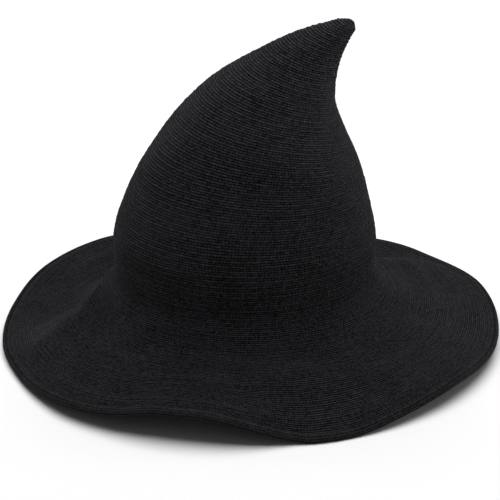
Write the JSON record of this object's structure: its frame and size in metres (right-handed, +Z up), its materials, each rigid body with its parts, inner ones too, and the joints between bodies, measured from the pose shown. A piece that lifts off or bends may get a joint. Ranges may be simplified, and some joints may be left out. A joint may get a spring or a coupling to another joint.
{
  "type": "witch hat",
  "caption": "Soft knitted witch hat with a wide wavy wired brim and a pointed crown whose tip curls to one side; lined with an adjustable sweatband.",
  "frame": {"origin": "on the plane the brim rests on, at the middle of the brim seen from above", "axes": "+Z up through the crown, -Y toward the hat's front, +X toward the side the tip curls to"},
  "size_m": [0.3997, 0.3784, 0.2638],
  "materials": {
    "knit": "ridged black wool knit, matte",
    "knit_edge": "turned black wool edge, matte",
    "thread": "black sewing thread",
    "spring_steel": "drawn spring steel",
    "nickel": "nickel plated, crimped",
    "ribbon": "ribbed grosgrain, slight sheen",
    "loop_tape": "brushed loop pile",
    "hook_tape": "woven nylon hook tape",
    "label": "blank satin label"
  },
  "bodies": {
    "hat": {"brim": "knit", "crown_lower": "knit", "crown_bend": "knit", "brim_hem": "knit_edge", "hem_stitching": "thread", "brim_wire": "spring_steel", "wire_joiner": "nickel", "sweatband": "ribbon", "sweatband_stitching": "thread", "band_seam_tape": "ribbon", "adjuster_pad": "loop_tape", "size_label": "label"},
    "tip": {"crown_tip": "knit", "tip_thread": "thread"},
    "adjuster": {"adjuster_tab": "hook_tape"}
  },
  "joints": [
    {"name": "tip_bend", "type": "hinge", "parent": "hat", "child": "tip", "pos_m": [0.0253, 0, 0.206], "axis": [0, 1, 0], "range_deg": [-30, 35], "deforming": ["crown_bend"]},
    {"name": "adjuster_slide", "type": "hinge", "parent": "hat", "child": "adjuster", "pos_m": [-0.004, -0.0189, 0.07], "axis": [0, 0, 1], "range_deg": [0, 8]}
  ]
}
